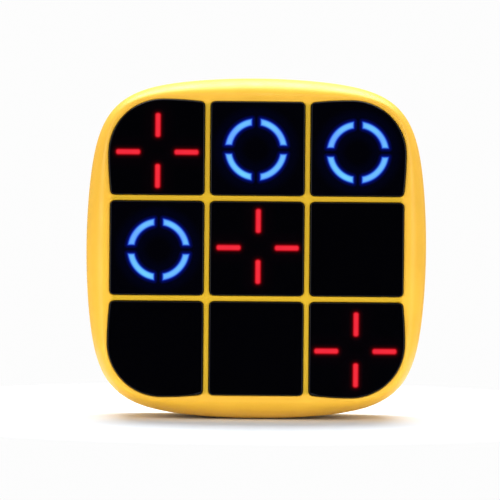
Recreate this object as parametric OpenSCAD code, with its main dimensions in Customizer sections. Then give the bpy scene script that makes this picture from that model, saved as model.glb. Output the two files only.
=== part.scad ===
// Hand-held electronic tic tac toe game: a pebble-shaped two-part housing with nine
// glossy keys, each holding a light guide that can show a cross or a ring.
//
// The game stands on its lower edge, with its keys facing -Y and its back facing +Y.
// The origin is the middle of that lower edge. Modules are drawn lying on the back:
// z is the height above the flat back and x, y lie in the plane of the keys, and
// upright() stands the result on its edge.

/* [Housing] */
// Width and height of the housing at its widest line
body_w = 85; // [84:0.5:88]
// Depth from the flat back to the key faces
body_t = 28; // [27.5:0.5:30]
// Squareness of the outer outline (2 is a circle)
outer_squareness = 6.8; // [6:0.1:8]
// How far the sides bulge, as a share of the half width
side_bulge = 0.1; // [0.08:0.01:0.11]
// Wall thickness of both shells
wall = 2; // [1.6:0.1:2.2]
// Height of the straight band that the game stands on
band_h = 8; // [6:1:10]
// Drop from the key faces to the grid and rim around them
key_proud = 0.7; // [0.6:0.1:1]

/* [Keys] */
// Distance between the centres of neighbouring keys
pitch = 24.7; // [24.6:0.05:25]
// Width of the grid bars between the keys
bar_w = 1.32; // [1.2:0.02:1.6]
// Gap between a key and its opening
key_gap = 0.15; // [0.1:0.05:0.25]
// Distance that a key travels when pressed
key_travel = 1; // [0.6:0.1:1.1]
// Thickness of a key cap's side walls
key_wall = 0.8; // [0.7:0.05:0.9]
// Corner radius of the openings at the grid
cell_corner_r = 1.2; // [1:0.1:1.5]

/* [Light guides] */
// Width of the light bars and of the ring
stroke = 1.48; // [1.3:0.02:1.6]
// Length of each bar of the cross
bar_len = 6.15; // [5.8:0.05:6.2]
// Mean radius of the ring
ring_r = 6.83; // [6.7:0.01:7]
// Gap between the four arcs of the ring
ring_break = 2.3; // [2.2:0.02:2.5]

/* [Batteries] */
// Diameter of an AAA cell
cell_d = 10.5; // [10:0.1:10.5]
// Length of an AAA cell without its pip
cell_len = 43.5; // [43:0.1:43.7]
// Distance between the cells' centre lines
cell_pitch = 11; // [10.8:0.1:11.2]

/* [Back] */
// Width of the battery door
door_w = 52; // [51:0.5:56]
// Height of the battery door
door_h = 42; // [42:0.5:43]
// Travel of the power switch's knob
power_travel = 3; // [2:0.5:3]
// Travel of the mode button
mode_travel = 0.6; // [0.3:0.1:0.8]

/* [Hidden] */
$fn = 48;
COLUMNS = ["left", "centre", "right"];
ROWS = ["bottom", "middle", "top"];
KEYS = [for (row = [2, 1, 0], column = [0:2]) [column, row]];
function key_name(k) = str(ROWS[k.y], "_", COLUMNS[k.x]);

half = body_w / 2;
split_h = body_t / 2;                    // height of the parting line
band_low = split_h - band_h / 2;
band_high = split_h + band_h / 2;
front_h = body_t - key_proud;            // height of the grid bars and the rim's inner edge
plate_t = 2;                             // thickness of the grid bars
plate_low = front_h - plate_t;
back_half = half - 4.5;                  // half width of the flat back
back_wall = 1.8;                         // thickness of the back
lip_h = 1.4;                             // height of the tongue that joins the shells
lip_t = 0.9;                             // thickness of that tongue
lip_play = 0.1;
hair = 0.02;                             // gap that only keeps two parts apart
rib_t = 1.2;                             // thickness of the ribs inside the shells

cell_in = pitch / 2 + bar_w / 2;         // inner edge of an outer opening
cell_out = 36.3;                         // outer edge of the key field along the middle keys
cell_half = (pitch - bar_w) / 2;         // half width of the centre opening
corner_r = 13.43;                        // outer corner of a corner opening
corner_c = 23.34;                        // centre of that corner
bulge_r = 84.6;                          // radius of a corner opening's two outer sides
field_half = 37.6;                       // rim's inner edge
field_squareness = 6.5;
field_bulge = 0.01;
hollow_half = 38.9;                      // cavity under the grid bars
hollow_squareness = 4.7;

key_low = 23.2;                          // lower edge of a key's skirt
key_top_t = 1;                           // thickness of a key's face
key_edge = [[0, 0.42], [0.12, 0.14], [0.4, 0]];   // rounding of a key's edge: inset, drop
tab_w = 5;                               // retaining tabs under the grid
tab_out = 0.3;
tab_t = 1.4;
tab_root = 0.8;                          // part of a tab that lies inside the key's wall
tab_gap = 0.1;                           // play between a tab and the grid bars above it
mask_t = 2.4;
guide_t = 1;
cavity_play = 0.1;
legend_margin = 0.3;                     // least width of mask left at the ends of the bars
post_r = 1.5;                            // post that joins a key to its plunger
post_play = 0.2;
plunger_r = 1.75;

board_low = 16.4;
board_t = 1.6;
board_top = board_low + board_t;
board_gap = 0.5;                         // gap between the board and the shell
board_post_r = 1.6;                      // posts that the board rests on
switch_w = 6;
switch_top = 21.5;
plunger_top = 23.2;
plunger_low = 20.6;
running_gap = 0.05;                      // play round a sliding stem
end_play = 0.2;                          // play beyond the end of a travel
overlap = 0.1;                           // depth by which joined shapes run into each other
led_size = [2, 1.25, 0.8];
red_led_r = 6.9;                         // distance of the red lights from the legend's centre
chip_pos = [8, 13.2];
chip_size = [9, 7];
pin_size = [0.5, 1.2];
pin_pitch = 1.27;
part_size = [1.2, 2];                    // small resistors and capacitors
part_pitch = 3;
part_t = 0.6;

legend_drop = 0.4;                       // all legends sit this far below their key's centre
// Play of each light guide in its key, from the top left key along the rows
legend_play = [[0.1, -0.7], [-0.4, 0.1], [0, -0.4],
               [0.5, 0], [0.3, 0.6], [0, 0],
               [0, 0], [0, 0], [-0.1, 0]];
// The cross is taller above its centre and wider to its left: start of each bar
bar_start = [4, 3.55, 4.2, 2.85];       // right, up, left, down

cell_y = -13;                            // centre line of the middle cell
cell_h = 2.2 + cell_d / 2 + 0.1;         // height of the cells' centre lines
cell_pip = 1;
cell_pip_d = 3.8;
contact_t = 0.4;
bay_half = 24.2;                         // half length of the battery bay
contact_face = bay_half - contact_t - 0.1;   // the contact plates' faces, from the middle
spring_len = 2 * contact_face - cell_len - cell_pip;
spring_wire_r = 0.3;
contact_size = 8.6;                      // width and height of a single contact plate
cell_shift = contact_face - cell_len / 2 - cell_pip;
bay_rib = rib_t;
bay_low_y = cell_y - cell_pitch - cell_d / 2 - 0.35;
bay_high_y = cell_y + cell_pitch + cell_d / 2 + 0.35;
bay_floor = 13.1;
door_y = -11.7;                          // centre of the battery door
door_t = 1.8;
door_r = 4;                              // the door's corners
door_play = 0.15;
ledge_t = 1.4;                           // thickness of the ledge that the door lies on
door_screw_y = 6.3;
door_screw_r = 1.1;
door_screw_low = 0.05;                   // height of its head's face
door_screw_end = 7;

boss_x = 34.5;
boss_y = pitch / 2;
boss_r = 2.8;
boss_top = 21.5;
boss_roof = 1.5;                         // plastic left over the end of a screw's hole
screw_r = 1.25;
screw_head_r = 2.4;
screw_head_t = 1.7;
cross_w = 0.55;                          // width of the cross recess in a screw's head
screw_seat = 9;                          // height at which the screws' heads seat
counterbore_r = 2.6;

speaker_pos = [0, 23];
speaker_r = 10;
magnet_r = 6;
basket_h = 2.6;
collar_top = 5;                          // collar of the rear shell round the speaker
grille_r = 0.8;                          // holes in front of the speaker
grille_pitch = 3.1;
lead_r = 0.45;                           // radius of the insulated leads
lead_x = contact_face - 0.3;             // battery leads rise through the bay's floor here
mode_pos = [-22, 22];
mode_r = 4;
mode_flange = back_wall + 0.05;
mode_stem_r = 1.75;
mode_stem_end = board_low - 2.6;
power_pos = [22, 22];
power_knob_size = [5, 3];
power_slide_size = [6.6, 4.4];
power_body_size = [12.6, 6.4];
power_slide_low = back_wall + 0.7;
power_slide_high = 5.1;
slide_play = 0.1;
knob_rib_w = 0.6;

YELLOW = "#fdc63c";
BLACK = "#08080b";
FROSTED = "#e8ecef";
MASK = "#1c1c1f";
METAL = "#c3c5c9";
BOARD = "#1f5c38";

// ---------- helpers ----------

module upright() translate([0, split_h, half]) rotate([90, 0, 0]) children();

function arc(centre, r, from, to, steps) =
    [for (i = [0:steps]) let (a = from + (to - from) * i / steps) centre + r * [cos(a), sin(a)]];

function round_rect(w, h, r, steps = 6) =
    [for (q = [0:3]) let (sx = [1, -1, -1, 1][q], sy = [1, 1, -1, -1][q])
        each arc([sx * (w / 2 - r), sy * (h / 2 - r)], r, 90 * q, 90 * q + 90, steps)];

// A squared circle, whose sides bulge by the share given
function squircle(size, squareness, bulge = 0, count = 96) =
    [for (i = [0:count - 1])
        let (a = 360 * i / count,
             r = size / pow(pow(abs(cos(a)), squareness) + pow(abs(sin(a)), squareness), 1 / squareness),
             x = r * cos(a),
             y = r * sin(a))
        [x * (1 - bulge * pow(y / size, 2)), y * (1 - bulge * pow(x / size, 2))]];

function mix(a, b, t) = [for (i = [0:len(a) - 1]) a[i] * (1 - t) + b[i] * t];
function at_height(points, h) = [for (p = points) [p.x, p.y, h]];

// Closed solid through rings of points, all of the same length, from low to high
module loft(rings) {
    n = len(rings[0]);
    m = len(rings);
    sides = [for (j = [0:m - 2], i = [0:n - 1])
        let (a = j * n + i, b = j * n + (i + 1) % n)
        each [[a, a + n, b + n], [a, b + n, b]]];
    polyhedron(
        [for (ring = rings) each ring],
        concat([[for (i = [0:n - 1]) i]], sides, [[for (i = [n - 1:-1:0]) (m - 1) * n + i]]));
}

module prism(points, low, high) translate([0, 0, low]) linear_extrude(high - low) polygon(points);
module post(pos, r, low, high) translate([pos.x, pos.y, low]) cylinder(r = r, h = high - low);
module block(pos, size, low, high)
    translate([pos.x - size.x / 2, pos.y - size.y / 2, low]) cube([size.x, size.y, high - low]);

// ---------- housing ----------

function outer(inset = 0) = squircle(half - inset, outer_squareness, side_bulge);
function field() = squircle(field_half, field_squareness, field_bulge);
function back(inset = 0) = squircle(back_half - inset, outer_squareness, side_bulge);

board_posts = [for (sx = [-1, 1], p = [[30, 30], [31.5, 0], [31.5, -24]]) [sx * p.x, p.y]];
boss_places = [for (sx = [-1, 1], sy = [-1, 1]) [sx * boss_x, sy * boss_y]];

// Opening outlines, taken in by g all round. Each is made for the right or top right, and mirrored.
function corner_cell(g) =
    let (r = cell_corner_r - g,
         lo = cell_in + g,
         sweep = asin((corner_c - lo - r) / (bulge_r - g)),
         side_x = corner_c + corner_r - bulge_r + (bulge_r - g) * cos(sweep))
    concat(
        arc([lo + r, lo + r], r, 180, 270, 5),
        arc([side_x - r, lo + r], r, 270, 360 - sweep, 5),
        arc([corner_c + corner_r - bulge_r, corner_c], bulge_r - g, -sweep * 0.8, 0, 4),
        arc([corner_c, corner_c], corner_r - g, 6, 84, 13),
        arc([corner_c, corner_c + corner_r - bulge_r], bulge_r - g, 90, 90 + sweep * 0.8, 4),
        arc([lo + r, side_x - r], r, 90 + sweep, 180, 5));

function side_cell(g) =
    [for (p = round_rect(cell_out - cell_in - 2 * g, 2 * (cell_half - g), cell_corner_r - g))
        p + [(cell_out + cell_in) / 2, 0]];

function middle_cell(g) = round_rect(2 * (cell_half - g), 2 * (cell_half - g), cell_corner_r - g);

function reversed(points) = [for (i = [len(points) - 1:-1:0]) points[i]];

// Outline of key k, at its place. It turns left, so a mirrored outline is reversed.
function key_outline(k, g) =
    let (base = k.x == 1 && k.y == 1 ? middle_cell(g)
            : k.x == 1 || k.y == 1 ? side_cell(g) : corner_cell(g),
         sx = k.x == 0 ? -1 : 1,
         sy = k.y == 0 ? -1 : 1,
         placed = [for (p = base)
             k.y == 1 ? [sx * p.x, p.y]
             : k.x == 1 ? [-sy * p.y, sy * p.x]
             : [sx * p.x, sy * p.y]])
    k.y == 1 || k.x == 1 ? (sx < 0 && k.y == 1 ? reversed(placed) : placed)
    : sx * sy < 0 ? reversed(placed) : placed;

function cell_centre(k) = [(k.x - 1) * pitch, (k.y - 1) * pitch];

module front_skin() {
    steps = 8;
    rim = [for (i = [0:steps]) let (a = 90 * i / steps)
        at_height(mix(outer(), field(), 1 - cos(a)), band_high + (front_h - band_high) * sin(a))];
    loft(concat([at_height(outer(), split_h)], rim));
}

module front_hollow() {
    top = squircle(hollow_half, hollow_squareness, field_bulge);
    loft([at_height(outer(wall), split_h - 1), at_height(outer(wall), band_high + 1),
          at_height(top, plate_low)]);
}

module front_shell() upright() color(YELLOW) difference() {
    union() {
        difference() {
            front_skin();
            front_hollow();
            prism(outer(wall - lip_t - lip_play), split_h - 1, split_h + lip_h + lip_play);
        }
        for (p = boss_places) {
            post(p, boss_r, split_h + lip_play, boss_top);
            block([sign(p.x) * (boss_x + 4), p.y], [5, rib_t], board_top + board_gap, boss_top);
        }
        for (sx = [-1, 1], sy = [-1, 1])
            post([sx * pitch / 2, sy * pitch / 2], 0.9, board_top + hair, plate_low + overlap);
    }
    for (k = KEYS) prism(key_outline(k, 0), plate_low - 1, body_t);
    for (p = boss_places) post(p, screw_r + running_gap, split_h - 1, boss_top - boss_roof);
}

module rear_skin() {
    steps = 7;
    rounded = [for (i = [0:steps]) let (a = 90 - 90 * i / steps)
        at_height(mix(outer(), back(), 1 - cos(a)), band_low * (1 - sin(a)))];
    loft(concat(rounded, [at_height(outer(), split_h)]));
}

module rear_hollow() {
    loft([at_height(back(1.2), back_wall), at_height(mix(outer(wall), back(1.2), 0.45), 3.4),
          at_height(mix(outer(wall), back(1.2), 0.14), 6.2), at_height(outer(wall), band_low),
          at_height(outer(wall), split_h + lip_h + 1)]);
}

module bay_walls() {
    length = 2 * bay_half;
    middle = (bay_low_y + bay_high_y) / 2;
    for (y = [bay_low_y - bay_rib / 2, bay_high_y + bay_rib / 2])
        block([0, y], [length + 2 * bay_rib, bay_rib], back_wall, bay_floor + bay_rib);
    for (sx = [-1, 1])
        block([sx * (bay_half + bay_rib / 2), middle], [bay_rib, bay_high_y - bay_low_y + 1],
              back_wall, bay_floor + bay_rib);
    block([0, middle], [length + 1, bay_high_y - bay_low_y + 1], bay_floor, bay_floor + bay_rib);
}

module rear_shell() upright() color(YELLOW) difference() {
    union() {
        difference() {
            union() {
                rear_skin();
                prism(outer(wall - lip_t), split_h - 1, split_h + lip_h);
            }
            rear_hollow();
        }
        bay_walls();
        block([0, door_y], [door_w + 2 * rib_t, door_h + 2 * rib_t], 1, door_t + ledge_t);
        for (p = boss_places) post(p, counterbore_r + 1, 1, split_h - lip_play);
        post([0, door_screw_y], 2.6, 1, door_screw_end + 2);
        // speaker collar, and posts that hold the board
        difference() {
            post(speaker_pos, speaker_r + 1.1, 1, collar_top);
            post(speaker_pos, speaker_r + 0.1, 0.5, collar_top + 1);
        }
        for (sy = [-1, 1])
            block(power_pos + [0, sy * (power_body_size.y / 2 + 0.7)], [power_body_size.x, 1.2], 1.5, 6);
        for (p = board_posts) post(p, board_post_r, 1.5, board_low);
    }
    // battery door's seat and the bay's mouth
    translate([0, door_y, -1]) linear_extrude(door_t + 1) polygon(round_rect(door_w, door_h, door_r));
    block([0, (bay_low_y + bay_high_y) / 2], [2 * bay_half, bay_high_y - bay_low_y], 0, bay_floor);
    post([0, door_screw_y], door_screw_r + end_play, 0, door_screw_end + 1);
    for (p = boss_places) {
        post(p, counterbore_r, -1, screw_seat);
        post(p, screw_r + 0.25, 0, split_h + 1);
    }
    for (ring = [0, 1, 2], i = [0:max(0, 6 * ring - 1)])
        let (a = ring == 0 ? 0 : 60 * i / ring)
        post(speaker_pos + grille_pitch * ring * [cos(a), sin(a)], grille_r, -1, 3);
    post(mode_pos, mode_r + key_gap, -1, 3);
    block(power_pos, power_knob_size + [power_travel + 0.4, 0.4], -1, 3);
    for (side = [-1, 1])
        post([side * lead_x, cell_y - side * cell_pitch], lead_r + 0.3, bay_floor - 1, bay_floor + 2);
}

// Screw with a cross recess in its head, which faces the back
module screw(pos, head_low, r, head_r, head_t, end) {
    difference() {
        union() {
            post(pos, head_r, head_low, head_low + head_t);
            post(pos, r, head_low + head_t - overlap, end);
        }
        block(pos, [head_r * 1.2, cross_w], head_low - 1, head_low + head_t * 0.6);
        block(pos, [cross_w, head_r * 1.2], head_low - 1, head_low + head_t * 0.6);
    }
}

module shell_screws() upright() color(METAL)
    for (p = boss_places)
        screw(p, screw_seat - screw_head_t, screw_r, screw_head_r, screw_head_t, boss_top - 2.5);

// ---------- battery door ----------

module battery_door() upright() color(YELLOW) difference() {
    union() {
        translate([0, door_y, 0])
            linear_extrude(door_t - door_play / 3)
            polygon(round_rect(door_w - 2 * door_play, door_h - 2 * door_play, door_r - door_play));
        // ribs that lie between the cells
        for (side = [-1, 1])
            block([0, cell_y + side * cell_pitch / 2], [40, 1], door_t - 0.5, door_t + 1.2);
        // locating pegs along the lower edge
        for (sx = [-1, 1]) block([sx * 14, bay_low_y + 0.9], [6, 1.2], door_t - 0.5, door_t + 1);
    }
    post([0, door_screw_y], 2.3, -1, 0.9);
    post([0, door_screw_y], 1.35, -1, door_t + 1);
    // grip grooves
    for (i = [-3:3]) block([i * 2.4, door_y - door_h / 2 + 5], [1, 4.6], -1, 0.5);
}

module door_screw() upright() color(METAL)
    screw([0, door_screw_y], door_screw_low, door_screw_r, 2.1, 0.85, door_screw_end);

// ---------- keys ----------

key_index = [for (i = [0:8]) i];
function legend_centre(i) = cell_centre(KEYS[i]) + [0, -legend_drop] + legend_play[i];

// Where the edge of key k's opening is on one side, and how far along that side its tab goes
function is_corner(k) = k.x != 1 && k.y != 1;
function is_outer(k, side) =
    ((side % 2 == 0 ? k.x : k.y) - 1) * (side < 2 ? 1 : -1) == 1;
function tab_reach(k, side) =
    !is_outer(k, side) ? cell_half : (is_corner(k) ? corner_c + corner_r : cell_out) - pitch;
function tab_shift(k, side) =
    is_corner(k) && is_outer(k, side) ? 4 * (side % 2 == 0 ? 1 - k.y : k.x - 1) * (side < 2 ? 1 : -1) : 0;

module key(i) {
    k = KEYS[i];
    centre = cell_centre(k);
    upright() color(BLACK) {
        difference() {
            union() {
                loft(concat(
                    [at_height(key_outline(k, key_gap), key_low)],
                    [for (e = key_edge) at_height(key_outline(k, key_gap + e[0]), body_t - e[1])]));
                for (side = [0:3])
                    translate([centre.x, centre.y, 0]) rotate([0, 0, 90 * side])
                    block([tab_reach(k, side) + (tab_out - tab_root) / 2, tab_shift(k, side)],
                          [tab_out + tab_root, tab_w],
                          plate_low - tab_gap - tab_t, plate_low - tab_gap);
            }
            prism(key_outline(k, key_gap + key_wall), key_low - 1, body_t - key_top_t);
        }
        post(centre, post_r, plunger_top, body_t - key_top_t + overlap);
    }
}

// The cross and ring of a light guide, grown by g
module legend(g) {
    for (side = [0:3])
        rotate([0, 0, 90 * side])
        translate([bar_start[side] + bar_len / 2, 0])
        polygon(round_rect(bar_len + 2 * g, stroke + 2 * g, 0.5));
    difference() {
        circle(r = ring_r + stroke / 2 + g);
        circle(r = ring_r - stroke / 2 - g);
        square([30, ring_break - 2 * g], center = true);
        square([ring_break - 2 * g, 30], center = true);
    }
}

// The legend of key i at its place, kept inside the key's mask
module key_legend(i, g) intersection() {
    translate(legend_centre(i)) legend(g);
    polygon(key_outline(KEYS[i], key_gap + key_wall + cavity_play + legend_margin - g));
}

module light_mask(i) {
    k = KEYS[i];
    top = body_t - key_top_t;
    upright() color(MASK) difference() {
        prism(key_outline(k, key_gap + key_wall + cavity_play), top - mask_t, top);
        translate([0, 0, top - mask_t - 1]) linear_extrude(mask_t + 2) key_legend(i, running_gap);
        post(cell_centre(k), post_r + post_play, 0, body_t);
    }
}

module light_guide(i) {
    k = KEYS[i];
    top = body_t - key_top_t;
    upright() color(FROSTED) difference() {
        union() {
            translate([0, 0, top - mask_t - overlap]) linear_extrude(mask_t + overlap) key_legend(i, 0);
            prism(key_outline(k, key_gap + key_wall + cavity_play), top - mask_t - guide_t, top - mask_t);
        }
        post(cell_centre(k), post_r + post_play, 0, body_t);
    }
}

module switch_plunger(i) upright() color("#e9e3d2")
    post(cell_centre(KEYS[i]), plunger_r, plunger_low, plunger_top);

// ---------- electronics ----------

module circuit_board() upright() color(BOARD) difference() {
    prism(outer(wall + board_gap), board_low, board_top);
    for (p = boss_places) post(p, boss_r + board_gap, board_low - 1, board_top + 1);
}

module switch_bodies() upright() color("#2b2b2e")
    for (k = KEYS) difference() {
        block(cell_centre(k), [switch_w, switch_w], board_top, switch_top);
        post(cell_centre(k), plunger_r + running_gap, plunger_low - key_travel - end_play, switch_top + 1);
    }

module leds(start_angle, r) {
    for (i = key_index, side = [0:3])
        translate([legend_centre(i).x, legend_centre(i).y, 0])
        rotate([0, 0, 90 * side + start_angle])
        translate([r, 0, board_top]) translate([-led_size.y / 2, -led_size.x / 2, 0])
        cube([led_size.y, led_size.x, led_size.z]);
}

module red_leds() upright() color("#d8302a") leds(0, red_led_r);
module blue_leds() upright() color("#3d6fe0") leds(45, ring_r);

module controller_chip() upright() color("#202024") {
    block(chip_pos, chip_size, board_low - 1.4, board_low - 0.2);
    for (sy = [-1, 1], i = [-3:3])
        block(chip_pos + [i * pin_pitch, sy * (chip_size.y / 2 + 0.4)], pin_size, board_low - 0.7, board_low);
}

module board_parts() upright() color("#b08a55") {
    for (i = [0:3]) block([17 + part_pitch * i, 13.4], part_size, board_low - part_t, board_low);
    for (i = [0:5]) block([-6 - part_pitch * i, 8.2], part_size, board_low - part_t, board_low);
}

module battery(row, flip) {
    y = cell_y + row * cell_pitch;
    upright() color("#3f8d5a") translate([flip * cell_shift, y, cell_h]) rotate([0, 90 * flip, 0]) {
        translate([0, 0, -cell_len / 2]) cylinder(d = cell_d, h = cell_len);
        translate([0, 0, cell_len / 2]) cylinder(d = cell_pip_d, h = cell_pip);
    }
}

module battery_upper() battery(1, 1);
module battery_middle() battery(0, -1);
module battery_lower() battery(-1, 1);

// Conical contact spring: wire of radius r wound along a widening helix
module coil(turns, r, small, large, length) {
    around = 6;
    count = 12 * turns;
    rings = [for (s = [0:count])
        let (t = s / count, a = 360 * turns * t, radius = small + (large - small) * t,
             centre = [radius * cos(a), radius * sin(a), length * t])
        [for (i = [0:around - 1]) let (b = -360 * i / around)
            centre + r * cos(b) * [cos(a), sin(a), 0] + r * sin(b) * [0, 0, 1]]];
    loft(rings);
}

module contact_springs() upright() color(METAL)
    for (row = [-1, 0, 1])
        let (side = row == 0 ? 1 : -1)
        translate([side * contact_face, cell_y + row * cell_pitch, cell_h])
        rotate([0, -90 * side, 0]) translate([0, 0, spring_wire_r])
        coil(3, spring_wire_r, 3.4, 2.2, spring_len - 2 * spring_wire_r - hair);

// The plates join the three cells in a row: two single ones and two that span two cells
module contact_plates() upright() color(METAL)
    for (side = [-1, 1]) {
        x = side * (contact_face + contact_t / 2);
        block([x, cell_y - side * cell_pitch], [contact_t, contact_size], cell_h - 4, cell_h + 4);
        block([x, cell_y + side * cell_pitch / 2], [contact_t, cell_pitch + contact_size],
              cell_h - 4, cell_h + 4);
    }

module speaker_basket() upright() color("#2a2a2d") difference() {
    post(speaker_pos, speaker_r, back_wall, back_wall + basket_h);
    post(speaker_pos, speaker_r - 1.2, 0, back_wall + basket_h - 1);
    post(speaker_pos, magnet_r + running_gap, 0, body_t);
}

module speaker_cone() upright() color("#121214") translate([speaker_pos.x, speaker_pos.y, back_wall + 0.3])
    rotate_extrude()
    polygon([[0, 0.9], [3, 0.9], [8, 0.2], [8.6, 0.2], [8.6, 0.6], [8, 0.6], [3.2, 1.25], [0, 1.25]]);

module speaker_magnet() upright() color(METAL)
    post(speaker_pos, magnet_r, back_wall + 1.7, back_wall + 5.2);

module power_switch_body() upright() color("#2b2b2e") difference() {
    block(power_pos, power_body_size, back_wall + hair, 7);
    block(power_pos, power_knob_size + [power_travel + 0.4, 0.4], 0, 4);
    block(power_pos, power_slide_size + [power_travel + 0.2, 0.2],
          power_slide_low - slide_play, power_slide_high + slide_play);
}

module power_knob() upright() color("#17171a")
    translate([power_pos.x - power_travel / 2, power_pos.y, 0]) {
        block([0, 0], power_knob_size, 0.4, 4.5);
        block([0, 0], power_slide_size, power_slide_low, power_slide_high);
        for (i = [-1:1]) block([i * 1.5, 0], [knob_rib_w, power_knob_size.y], 0.1, 0.5);
    }

module mode_button() upright() color("#17171a") translate([mode_pos.x, mode_pos.y, 0]) {
    rotate_extrude() polygon([[0, 0.3], [2.2, 0.25], [mode_r - 0.5, 0], [mode_r, 0.4],
        [mode_r, mode_flange], [mode_r + 1, mode_flange], [mode_r + 1, mode_flange + 1],
        [mode_stem_r, mode_flange + 1], [mode_stem_r, mode_stem_end], [0, mode_stem_end]]);
}

module mode_switch_body() upright() color("#2b2b2e") difference() {
    block(mode_pos, [switch_w, switch_w], board_low - 3.5, board_low);
    post(mode_pos, mode_stem_r + running_gap, 0, mode_stem_end + mode_travel + end_play);
}

// Leads from the speaker, the battery contacts and the power switch up to the board
module lead(points, r = lead_r) {
    around = 6;
    rings = [for (i = [0:len(points) - 1])
        let (before = points[max(0, i - 1)],
             after = points[min(len(points) - 1, i + 1)],
             along = (after - before) / norm(after - before),
             side = cross(along, [0.31, 0.95, 0.02]) / norm(cross(along, [0.31, 0.95, 0.02])),
             up = cross(along, side))
        [for (j = [0:around - 1]) let (b = 360 * j / around)
            points[i] + r * (cos(b) * side + sin(b) * up)]];
    loft(rings);
}

// Smooth route through hand-placed points
function smooth(points, steps = 4) =
    [for (i = [0:len(points) - 2], s = [0:i == len(points) - 2 ? steps : steps - 1])
        let (t = s / steps, p0 = points[max(0, i - 1)], p1 = points[i], p2 = points[i + 1],
             p3 = points[min(len(points) - 1, i + 2)])
        0.5 * (2 * p1 + (p2 - p0) * t + (2 * p0 - 5 * p1 + 4 * p2 - p3) * t * t
            + (3 * p1 - p0 - 3 * p2 + p3) * t * t * t)];

// Smooth route whose first and last stretches are straight
function upright_ends(points) =
    concat([points[0]], smooth([for (i = [1:len(points) - 2]) points[i]]), [points[len(points) - 1]]);

module wires() upright() color("#c22f2f") {
    for (sx = [-1, 1])
        lead(upright_ends([[sx * 2, 31, back_wall + 2.6], [sx * 2, 31, 5.4], [sx * 2, 33, 7.5],
                           [sx * 3, 34, 11], [sx * 4, 33, 15], [sx * 4, 33, board_low]]));
    for (side = [-1, 1])
        lead([for (h = [cell_h + 4, board_low]) [side * lead_x, cell_y - side * cell_pitch, h]]);
    for (side = [-1, 1])
        lead(upright_ends([[22 + side * 3, 22 + side, 7], [22 + side * 3, 22 + side, 7.8],
                           [22 + side * 4, 22 + side * 3, 10], [23 + side * 3, 21 + side * 4, 13],
                           [23 + side * 2, 21 + side * 3, 15.2], [23 + side * 2, 21 + side * 3, board_low]]));
}

front_shell();
rear_shell();
shell_screws();
battery_door();
door_screw();
for (i = key_index) {
    key(i);
    light_mask(i);
    light_guide(i);
    switch_plunger(i);
}
circuit_board();
switch_bodies();
red_leds();
blue_leds();
controller_chip();
board_parts();
battery_upper();
battery_middle();
battery_lower();
contact_springs();
contact_plates();
speaker_basket();
speaker_cone();
speaker_magnet();
power_switch_body();
power_knob();
mode_button();
mode_switch_body();
wires();
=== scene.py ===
"""Looks for the hand-held electronic tic tac toe game: housing, keys with their lights, back fittings.

Shapes are drawn in millimetres on the game's own face: x to the right, y up, both from the middle of
the face, and h the height above the flat back. place() turns them into the frame, which is in metres.
A shape is a function of g that gives an outline taken in by g, so that its edges can be rounded.
"""

import math

import bmesh
import bpy
from mathutils import Matrix, Vector
from mathutils.geometry import delaunay_2d_cdt


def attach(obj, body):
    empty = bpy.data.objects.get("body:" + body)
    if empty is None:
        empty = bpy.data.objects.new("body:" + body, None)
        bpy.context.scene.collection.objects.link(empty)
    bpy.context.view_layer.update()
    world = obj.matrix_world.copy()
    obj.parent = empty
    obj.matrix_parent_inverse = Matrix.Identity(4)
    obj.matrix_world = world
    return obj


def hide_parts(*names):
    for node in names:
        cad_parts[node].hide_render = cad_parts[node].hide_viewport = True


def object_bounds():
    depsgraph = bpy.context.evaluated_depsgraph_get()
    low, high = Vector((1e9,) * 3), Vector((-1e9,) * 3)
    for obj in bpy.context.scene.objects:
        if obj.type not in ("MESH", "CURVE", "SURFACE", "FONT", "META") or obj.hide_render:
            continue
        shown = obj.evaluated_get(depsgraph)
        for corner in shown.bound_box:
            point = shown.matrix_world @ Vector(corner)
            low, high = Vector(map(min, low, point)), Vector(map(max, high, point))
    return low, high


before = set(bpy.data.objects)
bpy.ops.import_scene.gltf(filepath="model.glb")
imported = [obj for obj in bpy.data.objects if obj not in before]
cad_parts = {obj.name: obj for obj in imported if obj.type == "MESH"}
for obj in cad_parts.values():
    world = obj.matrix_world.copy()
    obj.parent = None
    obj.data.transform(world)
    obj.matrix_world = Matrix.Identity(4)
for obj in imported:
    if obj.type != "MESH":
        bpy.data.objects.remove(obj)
cad_low, cad_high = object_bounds()

# ---------- sizes of the housing, in millimetres ----------

MM = 0.001
BODY_W = (cad_high.x - cad_low.x) / MM
BODY_T = (cad_high.y - cad_low.y) / MM
HALF = BODY_W / 2

RING = 288  # points round a housing outline
OUTER_SQUARENESS = 6.8
SIDE_BULGE = 0.1
WALL = 2.0
SPLIT = BODY_T / 2  # height of the parting line
BAND_LOW = SPLIT - 4  # the sides are straight between these two heights
BAND_HIGH = SPLIT + 4
SEAM = 0.22  # rounding of the two shells' edges where they meet
SEAM_SHOULDER = 0.3 * SEAM

FRONT = BODY_T - 0.7  # the grid bars and the rim's inner edge
PLATE_LOW = FRONT - 2
FRONT_CURVE_STEPS = 26
FIELD_HALF = 37.6  # the rim's inner edge, seen from the front
FIELD_SQUARENESS = 6.5
FIELD_BULGE = 0.01
FRONT_HOLLOW_HALF = 38.9  # the hollow under the grid bars
FRONT_HOLLOW_SQUARENESS = 4.7
FRONT_HOLLOW_SIDE = BAND_HIGH + 1  # height where that hollow reaches the side walls

BACK_HALF = HALF - 4.5
BACK_WALL = 1.8
REAR_CURVE_STEPS = 22
REAR_HOLLOW_INSET = 1.2
# Height of each row of the rear hollow's wall, and how far its outline is drawn in to the floor's
REAR_HOLLOW = ((BACK_WALL, 1), (3.4, 0.45), (6.2, 0.14), (BAND_LOW, 0), (SPLIT, 0))

# ---------- sizes of the keys ----------

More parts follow.
